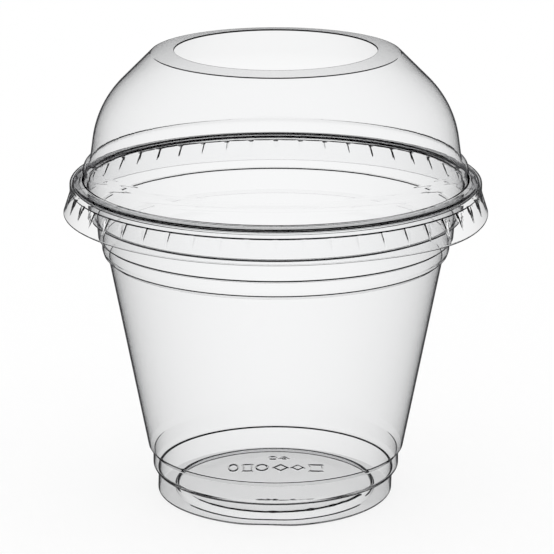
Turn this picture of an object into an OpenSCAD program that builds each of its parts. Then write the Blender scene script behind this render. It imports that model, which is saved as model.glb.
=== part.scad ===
// Clear thermoformed plastic cup with a press-on dome lid that has a wide round opening.
// The origin is at the centre of the foot's resting plane, with +Z up.

/* [Sheet] */
// sheet thickness of the cup
cup_wall = 0.4; // [0.35:0.05:0.5]
// sheet thickness of the lid
lid_wall = 0.35; // [0.3:0.05:0.4]

/* [Cup foot] */
// outside radius of the foot ring
foot_r = 29; // [27.5:0.1:29.2]
// height of the foot ring up to the first step
foot_h = 5.9; // [4.5:0.1:6.4]
// radius of the inner edge of the foot ring
foot_inner_r = 24.6; // [23:0.1:26]
// height of the floor panel above the resting plane
floor_h = 1.8; // [1.6:0.1:3]
// rise of the floor panel at its centre
floor_rise = 0.5; // [0.2:0.1:1]

/* [Cup wall] */
// outside radius of the band above the foot
band_r = 30.4; // [29.8:0.1:31]
// height of the band's upper edge
band_top = 10.9; // [9:0.1:11.5]
// outside radius at the bottom of the tapered wall
taper_r1 = 31.55; // [31:0.05:32]
// height at which the taper starts
taper_z1 = 12.2; // [12:0.1:13.5]
// outside radius at the top of the tapered wall
taper_r2 = 40.8; // [39:0.1:41]
// height at which the taper ends
taper_z2 = 60.5; // [58:0.1:61.5]
// outside radius of the collar band above the taper
collar_r = 42.3; // [42:0.1:42.8]
// height of the collar band's upper edge
collar_top = 64.8; // [64.4:0.1:66]
// outside radius of the wall between the collar and the ledge
neck_r = 43.5; // [43.2:0.1:43.9]
// outside radius of the ledge under the rim
ledge_r = 45.4; // [45:0.05:45.6]
// height of the ledge under the rim
ledge_z = 71; // [70:0.1:72]

/* [Cup roll] */
// outer radius of the rolled rim
roll_r = 49.2; // [48.8:0.1:49.3]
// height of the top of the rolled rim
roll_top = 79; // [78.8:0.05:79.2]
// bend radius of the rim's sheet, at its middle
roll_bend = 0.45; // [0.4:0.05:0.5]

/* [Lid dome] */
// radius of the round opening
hole_r = 24.4; // [20:0.1:26]
// height of the edge of the opening
hole_z = 110.95; // [109:0.05:112]
// radius of the shoulder edge around the flat ring
shoulder_r = 29.9; // [29:0.1:31]
// height of the shoulder edge
shoulder_z = 110.35; // [109:0.05:110.5]
// slope of the upper dome below the horizontal
dome_slope = 45; // [43:0.5:46]
// meridian radius of the dome's curve
dome_bend = 23.4; // [21:0.1:24]
// slope of the lower dome wall below the horizontal
dome_foot_slope = 82; // [81:0.5:84]
// height of the straight lower wall above the crease
dome_foot_h = 5.3; // [4:0.1:6]
// radius of the crease at the foot of the dome
crease_r = 44.9; // [44.8:0.1:45.2]
// height of the crease
crease_z = 84.2; // [83.5:0.1:84.5]

/* [Lid rim] */
// outside radius of the upright wall over the rim
step_r = 46.6; // [46.4:0.1:46.9]
// outside radius of the bead over the rolled rim
bead_r = 49.9; // [49.8:0.05:50]
// corner radius of the bead
bead_round = 0.7; // [0.6:0.1:0.9]
// outside radius of the skirt's upper end, just under the bead
lip_r = 49.6; // [49.5:0.05:49.7]
// height of the small step between the bead and the skirt
lip_z = 77.2; // [77.1:0.05:77.3]
// outer radius of the flared skirt's lower edge
skirt_r = 51.5; // [51:0.1:52]
// height of the flared skirt's lower edge
skirt_z = 71.4; // [71:0.1:72]

/* [Skirt flutes] */
// number of flutes around the skirt
flute_n = 48; // [24:12:48]
// height of the flutes' upper ends
flute_top = 76.9; // [76.4:0.1:76.9]
// height of the flutes
flute_h = 3.2; // [2.6:0.1:3.6]
// depth of a flute at its upper end
flute_d = 0.7; // [0.5:0.05:0.75]
// angle between a flute's two faces and its middle plane
flute_half = 42; // [30:1:50]

/* [Hidden] */
$fn = 96;

cup_mid = cup_wall / 2;
lid_mid = lid_wall / 2;
// the lid's bead sits down on the top of the rolled rim
bead_top = roll_top + lid_wall;
roll_in = roll_r - cup_mid - roll_bend;
roll_z = roll_top - cup_mid - roll_bend;
rim_in = ledge_r - cup_mid + 0.3;
skirt_top = lip_z - 0.15;

// points on an arc about c, from angle a0 to a1
function arc_pts(c, r, a0, a1, n) =
    [for (i = [0 : n]) let (a = a0 + (a1 - a0) * i / n) c + r * [cos(a), sin(a)]];
function perp(v) = [-v[1], v[0]] / norm(v);
// unit offset at point i of a path, mitred between its two neighbours
function mitre(p, i) =
    let (
        a = perp(p[max(i, 1)] - p[max(i, 1) - 1]),
        b = perp(p[min(i, len(p) - 2) + 1] - p[min(i, len(p) - 2)])
    ) (a + b) / (1 + a * b);
function shifted(p, d) = [for (i = [0 : len(p) - 1]) p[i] + d * mitre(p, i)];
function backwards(p) = [for (i = [len(p) - 1 : -1 : 0]) p[i]];

// a revolved sheet of even thickness around a path through its middle
module sheet(path, wall) {
    rotate_extrude()
        polygon(concat(shifted(path, -wall / 2), backwards(shifted(path, wall / 2))));
}

// middle of the cup's sheet, from the floor's centre to the end of the rolled rim
cup_path = concat(
    [
        [0, floor_h + floor_rise],
        [3, floor_h + floor_rise],
        [foot_inner_r - 8, floor_h + floor_rise * 0.5],
        [foot_inner_r - 0.9, floor_h],
        [foot_inner_r - 0.2, floor_h - 0.5],
        [foot_inner_r + 0.3, cup_mid + 0.5],
        [foot_inner_r + 1, cup_mid]
    ],
    arc_pts([foot_r - cup_mid - 0.8, cup_mid + 0.8], 0.8, -90, 0, 3),
    [[foot_r - cup_mid, foot_h]],
    arc_pts([band_r - cup_mid - 1.1, foot_h + 1.2], 1.1, -90, 0, 4),
    [
        [band_r - cup_mid, band_top - 0.2],
        [band_r - cup_mid + 0.2, band_top + 0.1],
        [taper_r1 - cup_mid, taper_z1],
        [taper_r2 - cup_mid, taper_z2],
        [collar_r - cup_mid - 0.35, taper_z2 + 0.95],
        [collar_r - cup_mid - 0.05, taper_z2 + 1.9],
        [collar_r - cup_mid, collar_top],
        [neck_r - cup_mid - 0.4, collar_top + 0.6],
        [neck_r - cup_mid, ledge_z - 1.4],
        [neck_r - cup_mid + 0.4, ledge_z - 0.25],
        [ledge_r - cup_mid, ledge_z]
    ],
    arc_pts([rim_in + roll_bend, roll_z], roll_bend, 180, 90, 3),
    arc_pts([roll_in, roll_z], roll_bend, 90, -90, 6),
    [[roll_in - 1.2, roll_z - roll_bend]]
);

// middle of the lid's sheet, from the round opening to the skirt's lower edge
arc_end = [
    crease_r - lid_mid - dome_foot_h * cos(dome_foot_slope) / sin(dome_foot_slope),
    crease_z + dome_foot_h
];
arc_mid = arc_end - dome_bend * [sin(dome_foot_slope), cos(dome_foot_slope)];
lid_path = concat(
    [
        [hole_r, hole_z - lid_mid],
        [shoulder_r - 0.3, shoulder_z - lid_mid],
        [shoulder_r, shoulder_z - lid_mid - 0.15]
    ],
    arc_pts(arc_mid, dome_bend, 90 - dome_slope, 90 - dome_foot_slope, 7),
    [
        [crease_r - lid_mid, crease_z],
        [crease_r - lid_mid + 0.5, crease_z - 0.45],
        [step_r - lid_mid - 0.3, crease_z - 1.2],
        [step_r - lid_mid, crease_z - 1.8],
        [step_r - lid_mid + 0.1, bead_top - lid_mid + 0.4],
        [step_r - lid_mid + 0.4, bead_top - lid_mid]
    ],
    arc_pts([bead_r - lid_mid - bead_round, bead_top - lid_mid - bead_round], bead_round, 90, 0, 4),
    [
        [bead_r - lid_mid, lip_z + 0.1],
        [lip_r - lid_mid, skirt_top],
        [skirt_r - lid_mid, skirt_z]
    ]
);
// outside radius of the skirt at height z
function skirt_at(z) = lip_r + (skirt_r - lip_r) * (skirt_top - z) / (skirt_top - skirt_z);
flute_foot_z = flute_top - flute_h;
flute_lean = atan((skirt_at(flute_foot_z) - lip_r + flute_d) / flute_h);
flute_len = flute_h / cos(flute_lean);

// a three-sided bar that leans inwards as it rises, one edge towards the axis
module bar(inset, below, above) {
    translate([skirt_at(flute_foot_z), 0, flute_foot_z])
        rotate([0, -flute_lean, 0])
            translate([-inset, 0, -below])
                linear_extrude(height = flute_len + below + above)
                    polygon([[0, 0], [2.4, -2.4 * tan(flute_half)], [2.4, 2.4 * tan(flute_half)]]);
}

module around() {
    for (i = [0 : flute_n - 1])
        rotate([0, 0, i * 360 / flute_n])
            children();
}

// everything inside the middle of the skirt's sheet
module skirt_core() {
    rotate_extrude()
        polygon([
            [40, skirt_z + 0.3],
            [skirt_at(skirt_z + 0.3) - lid_mid, skirt_z + 0.3],
            [lip_r - lid_mid, skirt_top],
            [lip_r - lid_mid, lip_z + 0.6],
            [40, lip_z + 0.6]
        ]);
}

module cup() {
    color([0.93, 0.95, 0.96, 0.4])
        sheet(cup_path, cup_wall);
}

module lid() {
    color([0.95, 0.96, 0.97, 0.4])
        difference() {
            union() {
                sheet(lid_path, lid_wall);
                intersection() {
                    around()
                        bar(lid_wall / sin(flute_half), 2, lid_wall);
                    skirt_core();
                }
            }
            around()
                bar(0, 0.5, 0);
        }
}

cup();
lid();
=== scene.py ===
import math

import bmesh
import bpy
import numpy as np
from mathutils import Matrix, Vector


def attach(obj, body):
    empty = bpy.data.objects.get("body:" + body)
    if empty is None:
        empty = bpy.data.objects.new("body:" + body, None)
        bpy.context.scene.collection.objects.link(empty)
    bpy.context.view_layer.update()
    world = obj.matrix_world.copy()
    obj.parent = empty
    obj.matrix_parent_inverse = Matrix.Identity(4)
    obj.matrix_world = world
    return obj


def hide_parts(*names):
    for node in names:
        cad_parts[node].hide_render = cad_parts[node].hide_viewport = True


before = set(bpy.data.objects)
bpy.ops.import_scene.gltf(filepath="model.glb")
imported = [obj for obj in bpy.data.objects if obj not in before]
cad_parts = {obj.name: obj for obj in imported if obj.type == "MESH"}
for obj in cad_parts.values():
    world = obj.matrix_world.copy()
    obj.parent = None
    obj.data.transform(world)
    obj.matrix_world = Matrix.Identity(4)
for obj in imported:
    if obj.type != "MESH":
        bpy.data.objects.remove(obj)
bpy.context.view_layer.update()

MM = 0.001

# the cup's sizes in mm, the part's own or within half a millimetre of them
CUP_WALL = 0.4
PANEL_Z = 1.5
PANEL_RISE = 0.8
FOOT_INNER_R = 24.6
FOOT_R = 29.0
FOOT_TOP = 5.9
BAND_R = 30.4
BAND_TOP = 10.8
TAPER_R1 = 31.55
TAPER_Z1 = 12.2
TAPER_R2 = 40.8
TAPER_Z2 = 60.5
COLLAR_R = 42.3
COLLAR_TOP = 64.8
NECK_R = 43.55
LEDGE_R = 45.4
LEDGE_Z = 70.75
ROLL_IN_R = 45.5
ROLL_R = 49.2
ROLL_BEND = 0.3
ROLL_TOP = 79.0
ROLL_END = 1.2
# the roll's top is this far below the inside of the lid's bead, because surfaces that meet render black
ROLL_GAP = 0.03

# the lid's sizes in mm and degrees, the part's own or within a tenth of a millimetre of them
LID_WALL = 0.35
HOLE_R = 24.4
HOLE_Z = 110.95
SHOULDER_R = 29.95
SHOULDER_Z = 110.35
DOME_BEND = 23.4
DOME_SLOPE = 45.0
DOME_FOOT_SLOPE = 82.0
DOME_FOOT_HEIGHT = 5.3
CREASE_R = 44.9
CREASE_Z = 84.2
STEP_R = 46.6
BEAD_R = 49.9
BEAD_TOP = ROLL_TOP + LID_WALL
LIP_R = 49.6
LIP_Z = 77.2
SKIRT_TOP = LIP_Z - 0.15
SKIRT_R = 51.48
SKIRT_Z = 71.4

# the skirt's flutes; each is a V that is FLUTE_SPREAD times as wide to each side as it is deep
FLUTES = 48
FLUTE_TOP = 76.9
FLUTE_HEIGHT = 3.2
FLUTE_DEPTH = 0.7
FLUTE_SPREAD = 1.15

# the skirt hangs lower at the right, where it was pulled: by how many mm, and where and how far in degrees
DROOP = 0.8
DROOP_AT = -30
DROOP_REACH = 42

# unevenness of the foot in mm, and its places in degrees around from +X; the front is at -90
RING_RISE = 0.30
RING_RISE_AT = -94
RING_RISE_REACH = 16
RING_WAVE = 0.05
FOOT_BEAD = 0.16
FOOT_BEAD_R = 25.1
FOOT_BEAD_HALF = 0.25
PANEL_LIP = 0.42
PANEL_LIP_WAVE = 0.06
PANEL_LIP_R = 23.65
PANEL_LIP_HALF = 0.55
PANEL_LIP_AT = -50
PANEL_LEAN = 0.5
PANEL_WALL_FROM = 23.4
PANEL_WALL_TO = 25.0
FOOT_ASIDE = 0.25

# marks raised on the floor panel: their height and half the width of their ridge in mm
MARK_HEIGHT = 0.22
MARK_HALF = 0.42
# x and y of the middle, width and depth in mm, and shape
MARKS = [
    (-10.7, 7.1, 2.2, 5.0, "ring"), (-7.1, 7.1, 2.0, 5.0, "frame"), (-3.5, 7.1, 2.8, 4.6, "ring"),
    (1.2, 7.1, 3.4, 4.8, "diamond"), (5.5, 7.1, 3.0, 4.0, "solid diamond"), (10.1, 7.1, 3.0, 4.8, "frame"),
    (-0.8, 14.8, 1.3, 2.2, "ring"), (2.1, 14.8, 1.3, 2.2, "diamond"),
    (-3.8, -16.6, 1.4, 1.8, "frame"), (-1.9, -16.6, 1.0, 1.8, "ring"), (-0.2, -16.6, 1.2, 1.8, "ring"),
    (2.0, -16.6, 1.8, 0.6, "frame"), (4.2, -16.6, 1.2, 1.8, "ring"), (6.1, -16.6, 1.2, 1.8, "diamond"),
    (8.2, -16.6, 1.4, 1.8, "frame")
]

# points around the cup, and the longest stretch between two points of its profile in mm
CUP_TURNS = 228
CUP_STRETCH = 6.0
# rows of its own take the place of the floor panel's profile out to here, in mm
PANEL_ROWS_TO = 23.3
# from and to which radius the panel has marks, and how far apart its rows are there
MARKED_R = (5.0, 19.9)
MARKED_STEP = 0.24


# Lines in radius and height

def arc(centre, radius, start, end, count):
    """Points on a circle about centre, evenly spaced in angle from start to end degrees."""
    a = np.radians(np.linspace(start, end, count))
    return np.column_stack([centre[0] + radius * np.cos(a), centre[1] + radius * np.sin(a)])


def rounded(corners, step=14.0):
    """A line through the corners, each given as radius, height and bend. Each corner is replaced by an arc
    that touches both its sides. The arc's radius is the corner's bend, or less where the sides are too
    short, and it has a point every step degrees."""
    points = np.array([corner[:2] for corner in corners], float)
    out = [points[:1]]
    for i in range(1, len(points) - 1):
        before, corner, after = points[i - 1], points[i], points[i + 1]
        bend = corners[i][2]
        u = (before - corner) / np.linalg.norm(before - corner)
        v = (after - corner) / np.linalg.norm(after - corner)
        turn = math.pi - math.acos(float(np.clip(u @ v, -1, 1)))
        if turn < math.radians(0.5) or bend <= 0:
            out.append(points[i:i + 1])
            continue
        shorter = min(np.linalg.norm(before - corner), np.linalg.norm(after - corner))
        reach = min(bend * math.tan(turn / 2), 0.49 * shorter)
        radius = reach / math.tan(turn / 2)
        towards = (u + v) / np.linalg.norm(u + v)
        centre = corner + towards * radius / math.cos(turn / 2)
        a0 = math.atan2(*(corner + u * reach - centre)[::-1])
        a1 = math.atan2(*(corner + v * reach - centre)[::-1])
        swing = (a1 - a0 + math.pi) % (2 * math.pi) - math.pi
        count = max(3, int(math.degrees(abs(swing)) / step) + 2)
        out.append(arc(centre, radius, math.degrees(a0), math.degrees(a0 + swing), count))
    out.append(points[-1:])
    return np.vstack(out)


def spaced(path, longest):
    """The path with extra points so that no stretch is longer than the longest."""
    out = [path[:1]]
    for a, b in zip(path[:-1], path[1:]):
        count = max(1, int(np.ceil(np.linalg.norm(b - a) / longest)))
        out.append(a + (b - a) * (np.arange(1, count + 1) / count)[:, None])
    return np.vstack(out)


def held(path, near=0.12):
    """The path with an extra point close to each free end and to each bend of more than 3 degrees, on
    every straight stretch that is long enough, so that the bends don't draw round the shading of the flat
    stretches."""
    d = np.diff(path, axis=0)
    length = np.linalg.norm(d, axis=1)
    way = np.degrees(np.unwrap(np.arctan2(d[:, 1], d[:, 0])))
    bent = np.concatenate([[True], np.abs(np.diff(way)) > 3, [True]])
    out = []
    for i in range(len(d)):
        out.append(path[i])
        if length[i] > 5 * near:
            if bent[i]:
                out.append(path[i] + d[i] / length[i] * near)
            if bent[i + 1]:
                out.append(path[i + 1] - d[i] / length[i] * near)
    out.append(path[-1])
    return np.array(out)


def sides(path):
    """Unit normals of a path, to its left, each halfway between the normals of its two stretches."""
    d = np.diff(path, axis=0)
    n = np.column_stack([-d[:, 1], d[:, 0]]) / np.linalg.norm(d, axis=1)[:, None]
    n = np.vstack([n[:1], n, n[-1:]])
    m = n[:-1] + n[1:]
    return m / (1 + np.sum(n[:-1] * n[1:], axis=1))[:, None]


# Profiles: middles of the two sheets

def cup_profile():
    """Middle of the cup's sheet in radius and height: recessed floor, foot ring, stepped band, tapered
    wall, collar, neck, ledge and the roll, which is a quarter arc and a half arc joined by a flat top."""
    half = CUP_WALL / 2
    roll_z = ROLL_TOP - ROLL_GAP - half - ROLL_BEND
    panel = [
        (0, PANEL_Z + PANEL_RISE, 0), (4, PANEL_Z + PANEL_RISE, 30),
        (FOOT_INNER_R - 8, PANEL_Z + 0.5, 30), (FOOT_INNER_R - 0.5, PANEL_Z, 0.6)
    ]
    ring = [(FOOT_INNER_R, half, 0.2)]
    ring += [(FOOT_BEAD_R + side * FOOT_BEAD_HALF, half, 0.1) for side in (-1, 0, 1)]
    ring += [(FOOT_R - half, half, 0.42), (FOOT_R - half, FOOT_TOP, 0.12)]
    band = [
        (FOOT_R + 0.65, FOOT_TOP + 0.1, 1), (BAND_R - half, FOOT_TOP + 1.05, 1),
        (BAND_R - half, BAND_TOP, 0.35)
    ]
    taper = [(TAPER_R1 - half, TAPER_Z1, 0.5), (TAPER_R2 - half, TAPER_Z2, 0.3)]
    collar = [
        (COLLAR_R - half - 0.35, TAPER_Z2 + 0.95, 0.3), (COLLAR_R - half - 0.05, TAPER_Z2 + 1.9, 1.0),
        (COLLAR_R - half, COLLAR_TOP, 0.2)
    ]
    neck = [(NECK_R - half - 0.4, COLLAR_TOP + 0.6, 0.2), (NECK_R - half, LEDGE_Z - 0.55, 0.4)]
    ledge = [(NECK_R - half + 0.55, LEDGE_Z - 0.05, 0.5), (LEDGE_R - half, LEDGE_Z, 0.6)]
    wall = rounded(panel + ring + band + taper + collar + neck + ledge + [(ROLL_IN_R, roll_z, 0)])
    outer_r = ROLL_R - half - ROLL_BEND
    over = arc((ROLL_IN_R + ROLL_BEND, roll_z), ROLL_BEND, 180, 90, 6)
    round_roll = arc((outer_r, roll_z), ROLL_BEND, 90, -90, 11)
    return np.vstack([wall[:-1], over, round_roll, [[outer_r - ROLL_END, roll_z - ROLL_BEND]]])


def lid_profile():
    """Middle of the lid's sheet in radius and height: flat ring, straight slope, the dome's arc down to
    the crease, the step, the upright wall, the bead over the roll and the flared skirt."""
    half = LID_WALL / 2
    foot_slope = math.radians(DOME_FOOT_SLOPE)
    crease = np.array([CREASE_R - half, CREASE_Z])
    end = crease + DOME_FOOT_HEIGHT * np.array([-1 / math.tan(foot_slope), 1.0])
    centre = end - DOME_BEND * np.array([math.sin(foot_slope), math.cos(foot_slope)])
    dome = arc(centre, DOME_BEND, 90 - DOME_SLOPE, 90 - DOME_FOOT_SLOPE, 15)
    ring = rounded([(HOLE_R, HOLE_Z - half, 0), (SHOULDER_R, SHOULDER_Z - half, 0.4), (*dome[0], 0)])
    step = [(*dome[-1], 0), (*crease, 1.0), (STEP_R - 0.2, CREASE_Z - 1.45, 1.6), (STEP_R - half, 80.5, 0)]
    bead = [
        (STEP_R - 0.15, BEAD_TOP - half + 0.5, 0.1), (STEP_R + 0.4, BEAD_TOP - half, 0.5),
        (BEAD_R - half, BEAD_TOP - half, 0.7), (BEAD_R - half, LIP_Z + 0.1, 0.1)
    ]
    rim = rounded(step + bead + [(LIP_R - half, SKIRT_TOP, 0)])
    share = np.concatenate([[0.01, 0.02, 0.03, 0.04], np.linspace(0.1, 0.94, 8), [1]])[:, None]
    skirt = (1 - share) * [LIP_R - half, SKIRT_TOP] + share * [SKIRT_R - half, SKIRT_Z]
    return np.vstack([ring[:-1], dome[:-1], rim, skirt])


# Shares from 0 to 1

def ramp(x, start, end):
    """0 at start, 1 at end, straight between them and level beyond."""
    return np.clip((x - start) / (end - start), 0, 1)


def peak(x, middle, half):
    """1 at the middle, falling in a straight line to 0 at half to each side."""
    return np.clip(1 - np.abs(x - middle) / half, 0, 1)


def swell(angle, middle, reach):
    """A raised cosine around Z: 1 at the middle, falling smoothly to 0 at reach to each side, in degrees."""
    off = np.abs((angle - math.radians(middle) + np.pi) % (2 * np.pi) - np.pi) / math.radians(reach)
    return 0.5 + 0.5 * np.cos(np.pi * np.clip(off, 0, 1))


# Surfaces

def revolve(name, outline, angles, shape, open_row=None):
    """A closed outline in radius and height carried around Z: each point goes to radius times the cosine
    and sine of the angle. shape moves the points first, from the grid of radii, heights and angles.
    open_row, where given, is the row of faces to leave out, between two points on the axis."""
    count, turns = len(outline), len(angles)
    radius = np.repeat(outline[:, :1], turns, axis=1)
    height = np.repeat(outline[:, 1:], turns, axis=1)
    radius, height = shape(radius, height, angles[None, :])
    co = np.stack([radius * np.cos(angles), radius * np.sin(angles), height], axis=2).reshape(-1, 3) * MM
    rows = np.arange(count)
    a = rows[rows != open_row]
    b = (a + 1) % count
    cols = np.arange(turns)
    nxt = (cols + 1) % turns
    quads = np.stack([
        a[:, None] * turns + cols, a[:, None] * turns + nxt,
        b[:, None] * turns + nxt, b[:, None] * turns + cols
    ], axis=2).reshape(-1, 4)
    mesh = bpy.data.meshes.new(name)
    mesh.from_pydata(co.tolist(), [], quads.tolist())
    mesh.validate()
    obj = bpy.data.objects.new(name, mesh)
    bpy.context.scene.collection.objects.link(obj)
    return obj


def joined(obj):
    """Merges the points that meet on the axis, turns all faces outwards and shades them smoothly."""
    bm = bmesh.new()
    bm.from_mesh(obj.data)
    bmesh.ops.remove_doubles(bm, verts=bm.verts, dist=1e-7)
    bmesh.ops.dissolve_degenerate(bm, dist=1e-8, edges=bm.edges)
    bmesh.ops.recalc_face_normals(bm, faces=bm.faces)
    bm.to_mesh(obj.data)
    bm.free()
    obj.data.polygons.foreach_set("use_smooth", np.ones(len(obj.data.polygons), bool))
    obj.data.update()
    return obj


def raised(x, y):
    """Height of the marks in mm at a place on the floor panel: each is a rounded ridge along the outline
    of a rectangle, an ellipse or a diamond, or a filled diamond."""
    out = np.zeros_like(x)
    for cx, cy, width, depth, shape in MARKS:
        u, v = np.abs(x - cx) / (width / 2), np.abs(y - cy) / (depth / 2)
        if shape == "frame":
            edge = np.maximum((u - 1) * width / 2, (v - 1) * depth / 2)
        elif shape == "ring":
            edge = (np.hypot(u, v) - 1) * width / 2
        else:
            edge = (u + v - 1) * width / 2
        if shape == "solid diamond":
            edge = np.clip(edge, 0, None)
        out = np.maximum(out, peak(edge, 0, MARK_HALF))
    return MARK_HEIGHT * out * out * (3 - 2 * out)


def cup_details(radius, height, angle):
    """Moves the points of the cup's foot. The marks stand up from the floor panel. The ring's underside
    rises by a raised cosine at one place near the front, where the sheet didn't reach the mould, and by
    far less in a slow wave. Its inner edge has a small bead at the front, and the panel's edge a wavy lip
    at the front and right. At the sides the panel's wall is steeper. The foot sits a little off centre to
    the left."""
    near = -np.sin(angle)
    marks = raised(radius * np.cos(angle), radius * np.sin(angle))
    rise = RING_RISE * swell(angle, RING_RISE_AT, RING_RISE_REACH)
    rise = rise + RING_WAVE * (1 + np.cos(3 * angle + 0.6))
    rise = rise * ramp(height, 2, 0) * ramp(radius, 24, 26)
    bead = FOOT_BEAD * peak(radius, FOOT_BEAD_R, FOOT_BEAD_HALF) * ramp(near, 0.5, 0.7)
    right = np.clip(0.3 + 0.7 * np.cos(angle - math.radians(PANEL_LIP_AT)), 0, 1) * ramp(near, 0.28, 0.36)
    wave = np.sin(19 * angle) + np.sin(31 * angle + 1.0) + np.sin(47 * angle + 2.0)
    lip = peak(radius, PANEL_LIP_R, PANEL_LIP_HALF) * (height > 1)
    lip = lip * right * (PANEL_LIP + PANEL_LIP_WAVE * wave)
    wall = ramp(height, 0.4, 1.6) * (radius > PANEL_WALL_FROM) * (radius < PANEL_WALL_TO)
    lean = PANEL_LEAN * wall * ramp(np.abs(np.cos(angle)), 0.6, 0.9)
    aside = FOOT_ASIDE * np.cos(angle) * ramp(height, 6.5, 4.5) * ramp(radius, 20, 24)
    return radius - aside + lean, height + rise + marks + lip + bead


def cup_sheet():
    """The cup's profile thickened by half its wall to each side and revolved once around Z, with fine rows
    over the floor panel for its raised marks. The panel's rows follow its profile as far as its last point,
    at 20.5 mm, and stay level from there to its edge, where the panel steps down by 0.2 mm."""
    path = spaced(cup_profile(), CUP_STRETCH)
    panel = path[:np.argmax(path[:, 0] > PANEL_ROWS_TO)]
    middle, edge = [0, 1.5, 3, 4.5], [21, 22, 23, 23.2, 23.4, 23.6]
    rows = np.concatenate([middle, np.arange(*MARKED_R, MARKED_STEP), edge])
    fine = np.column_stack([rows, np.interp(rows, panel[:, 0], panel[:, 1])])
    path = held(np.vstack([fine, path[len(panel):]]))
    shift = sides(path) * CUP_WALL / 2
    outline = np.vstack([path - shift, (path + shift)[::-1]])
    angles = np.linspace(0, 2 * np.pi, CUP_TURNS, endpoint=False)
    return joined(revolve("cup_sheet", outline, angles, cup_details, open_row=len(outline) - 1))


def flute_angles():
    """Angles around the skirt, close together at each flute and wide apart between flutes."""
    pitch = 2 * math.pi / FLUTES
    half = np.array([0.0, 0.14, 0.32, 0.54, 0.82, 1.9]) / BEAD_R
    one = np.concatenate([-half[:0:-1], half, [pitch / 2]])
    return (one[None, :] + np.arange(FLUTES)[:, None] * pitch).ravel()


def fluted(side):
    """Gives the function that presses the flutes in. The sheet's middle goes in by the flute's depth at
    that height times one less the share of the distance across, as a V that narrows as it gets shallower.
    Each surface lies half a sheet from the middle, square to its slope. The skirt's lower part also hangs
    lower around one place. side is 1 for the rows of the outer surface and -1 for those of the inner."""
    def press(radius, height, angle):
        pitch = 2 * math.pi / FLUTES
        along = ((angle + pitch / 2) % pitch - pitch / 2) * BEAD_R
        depth = FLUTE_DEPTH * ramp(height, FLUTE_TOP - FLUTE_HEIGHT, FLUTE_TOP) * (height <= FLUTE_TOP + 0.1)
        across = np.abs(along) / np.maximum(FLUTE_SPREAD * depth, 0.05)
        dip = depth * np.clip(1 - across, 0, 1)
        slope = np.where((across < 1) & (across > 0.02), 1 / FLUTE_SPREAD, 0) * (depth > 0.05)
        thicker = side[:, None] * LID_WALL / 2 * (np.sqrt(1 + slope ** 2) - 1)
        droop = DROOP * ramp(height, LIP_Z, SKIRT_Z) ** 1.5 * swell(angle, DROOP_AT, DROOP_REACH)
        return radius - dip + thicker, height - droop
    return press


def lid_sheet():
    """The lid's profile thickened by half its wall to each side, revolved and pressed in at the flutes."""
    path = held(lid_profile())
    shift = sides(path) * LID_WALL / 2
    outline = np.vstack([path + shift, (path - shift)[::-1]])
    side = np.repeat([1.0, -1.0], len(path))
    return joined(revolve("lid_sheet", outline, flute_angles(), fluted(side)))


# Material

# how strongly the sheet bends light, and the weaker value that sets how much of it is gloss at its edges;
# that gloss is near black and paints shade on the edges and bends
SHEET_IOR = 1.57
GLOSS_IOR = 1.27
SHEET_TINT = (0.996, 0.997, 0.998, 1)
# near-black gloss colour: painted shade, standing in for the dark surroundings that clear plastic reflects
# at its edges and bends
PAINTED_SHADE_GLOSS_TINT = (0.10, 0.10, 0.105, 1)
GLOSS_ROUGHNESS = 0.04
SHADOW_TINT = (0.985, 0.985, 0.985, 1)
# the sheet's slight unevenness: waves per metre, and their height in metres times a share
WAVES = 60
WAVE_HEIGHT = 0.0005
WAVE_SHARE = 0.015


def node(tree, kind, **inputs):
    """A new shader node of the kind, with the named inputs set."""
    made = tree.nodes.new("ShaderNode" + kind)
    for name, value in inputs.items():
        made.inputs[name].default_value = value
    return made


def empty_material(name):
    """A new material with no nodes in it."""
    mat = bpy.data.materials.new(name)
    mat.use_nodes = True
    mat.node_tree.nodes.clear()
    return mat


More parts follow.
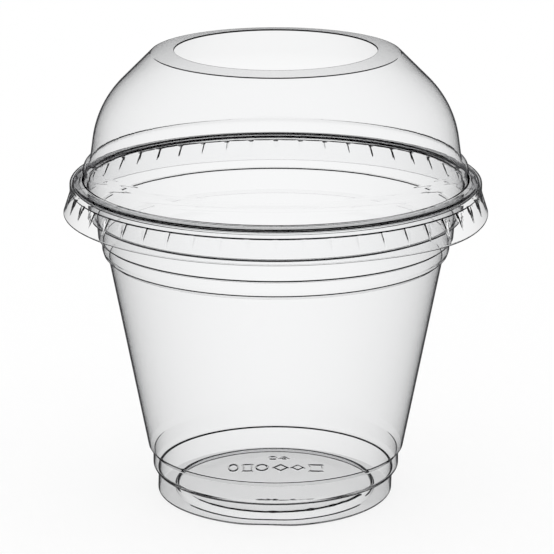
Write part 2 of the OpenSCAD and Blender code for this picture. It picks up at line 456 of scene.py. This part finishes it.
def clear_sheet(name, painted_edge_shade):
    """Clear thermoformed sheet: refraction and a gloss dimmed to near black, mixed by Fresnel plus a share
    times how far the surface is turned away, and very slightly uneven. The gloss is real, but its near-black
    colour is painted shade that darkens the sheet's edges and bends. Shadow rays pass through, because the
    thin sheet throws hardly any shadow."""
    mat = empty_material(name)
    nt = mat.node_tree
    coord = node(nt, "TexCoord")
    noise = node(nt, "TexNoise", Scale=WAVES, Detail=1.5)
    bump = node(nt, "Bump", Strength=WAVE_SHARE, Distance=WAVE_HEIGHT)
    refraction = node(nt, "BsdfRefraction", Color=SHEET_TINT, Roughness=0.0, IOR=SHEET_IOR)
    gloss = node(nt, "BsdfAnisotropic", Color=PAINTED_SHADE_GLOSS_TINT, Roughness=GLOSS_ROUGHNESS)
    fresnel = node(nt, "Fresnel", IOR=GLOSS_IOR)
    facing = node(nt, "LayerWeight", Blend=0.5)
    # more of the near-black gloss where the surface turns away: painted shade on the edges and bends
    share = node(nt, "Math")
    share.operation = "MULTIPLY_ADD"
    share.inputs[1].default_value = painted_edge_shade
    sheet = node(nt, "MixShader")
    rays = node(nt, "LightPath")
    clear = node(nt, "BsdfTransparent", Color=SHADOW_TINT)
    shade = node(nt, "MixShader")
    out = node(nt, "OutputMaterial")
    nt.links.new(coord.outputs["Object"], noise.inputs["Vector"])
    nt.links.new(noise.outputs["Fac"], bump.inputs["Height"])
    for shaped in (refraction, gloss, fresnel, facing):
        nt.links.new(bump.outputs["Normal"], shaped.inputs["Normal"])
    nt.links.new(facing.outputs["Facing"], share.inputs[0])
    nt.links.new(fresnel.outputs["Fac"], share.inputs[2])
    nt.links.new(share.outputs["Value"], sheet.inputs["Fac"])
    nt.links.new(refraction.outputs["BSDF"], sheet.inputs[1])
    nt.links.new(gloss.outputs["BSDF"], sheet.inputs[2])
    nt.links.new(rays.outputs["Is Shadow Ray"], shade.inputs["Fac"])
    nt.links.new(sheet.outputs["Shader"], shade.inputs[1])
    nt.links.new(clear.outputs["BSDF"], shade.inputs[2])
    nt.links.new(shade.outputs["Shader"], out.inputs["Surface"])
    return mat


# Pieces

cup = cup_sheet()
# the second value is the extra share of near-black gloss, painted shade, where the surface turns away
cup.data.materials.append(clear_sheet("cup_clear_sheet", 0.11))
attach(cup, "cup")
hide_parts("cup")

lid = lid_sheet()
lid.data.materials.append(clear_sheet("lid_clear_sheet", 0.05))
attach(lid, "lid")
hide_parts("lid")


# Studio, in metres

FLOOR_HALF = 6.0
FLOOR_BELOW = 0.00005
FLOOR_WHITE = 0.8


def floor_white():
    """Matt white that keeps the cup's shadow, with a share of plain white for what is seen of it directly,
    in gloss or through the sheet."""
    mat = empty_material("floor_white")
    nt = mat.node_tree
    rays = node(nt, "LightPath")
    seen = node(nt, "Math")
    seen.operation = "MAXIMUM"
    seen_all = node(nt, "Math")
    seen_all.operation = "MAXIMUM"
    share = node(nt, "Math")
    share.operation = "MULTIPLY"
    share.inputs[1].default_value = FLOOR_WHITE
    matt = node(nt, "BsdfDiffuse", Color=(1, 1, 1, 1))
    white = node(nt, "Emission")
    mix = node(nt, "MixShader")
    out = node(nt, "OutputMaterial")
    nt.links.new(rays.outputs["Is Camera Ray"], seen.inputs[0])
    nt.links.new(rays.outputs["Is Glossy Ray"], seen.inputs[1])
    nt.links.new(seen.outputs["Value"], seen_all.inputs[0])
    nt.links.new(rays.outputs["Is Transmission Ray"], seen_all.inputs[1])
    nt.links.new(seen_all.outputs["Value"], share.inputs[0])
    nt.links.new(share.outputs["Value"], mix.inputs["Fac"])
    nt.links.new(matt.outputs["BSDF"], mix.inputs[1])
    nt.links.new(white.outputs["Emission"], mix.inputs[2])
    nt.links.new(mix.outputs["Shader"], out.inputs["Surface"])
    return mat


def floor():
    """A wide flat square just under the foot."""
    mesh = bpy.data.meshes.new("floor")
    s = FLOOR_HALF
    mesh.from_pydata([(-s, -s, 0), (s, -s, 0), (s, s, 0), (-s, s, 0)], [], [(0, 1, 2, 3)])
    mesh.materials.append(floor_white())
    obj = bpy.data.objects.new("floor", mesh)
    bpy.context.scene.collection.objects.link(obj)
    obj.location = (0, 0, -FLOOR_BELOW)


def white_world():
    """Even white light from all around, at strength 1."""
    world = bpy.data.worlds.new("studio")
    bpy.context.scene.world = world
    world.use_nodes = True
    world.node_tree.nodes["Background"].inputs["Color"].default_value = (1, 1, 1, 1)
    world.node_tree.nodes["Background"].inputs["Strength"].default_value = 1.0


floor()
white_world()


# Camera, in metres, degrees and the picture's pixels

ELEVATION = 15.91
DISTANCE = 0.7348
LOOK_AT = 0.05423
FOCAL_PX = 3005.8
SHIFT_PX = 1.2
PICTURE_PX = 554
SENSOR_MM = 36


def camera():
    """The photograph's view, from DISTANCE away and ELEVATION above a point LOOK_AT up the axis."""
    data = bpy.data.cameras.new("camera")
    data.sensor_width = SENSOR_MM
    data.lens = SENSOR_MM * FOCAL_PX / PICTURE_PX
    data.shift_x = SHIFT_PX / PICTURE_PX
    data.clip_start = 0.01
    obj = bpy.data.objects.new("camera", data)
    bpy.context.scene.collection.objects.link(obj)
    tilt = math.radians(ELEVATION)
    back = Vector((0, -math.cos(tilt), math.sin(tilt)))
    obj.location = Vector((0, 0, LOOK_AT)) + back * DISTANCE
    obj.rotation_euler = back.to_track_quat("Z", "Y").to_euler()
    bpy.context.scene.camera = obj


camera()

bpy.context.scene.view_settings.view_transform = "Standard"
cycles = bpy.context.scene.cycles
cycles.max_bounces = 32
cycles.transmission_bounces = 32
cycles.glossy_bounces = 8
cycles.transparent_max_bounces = 32
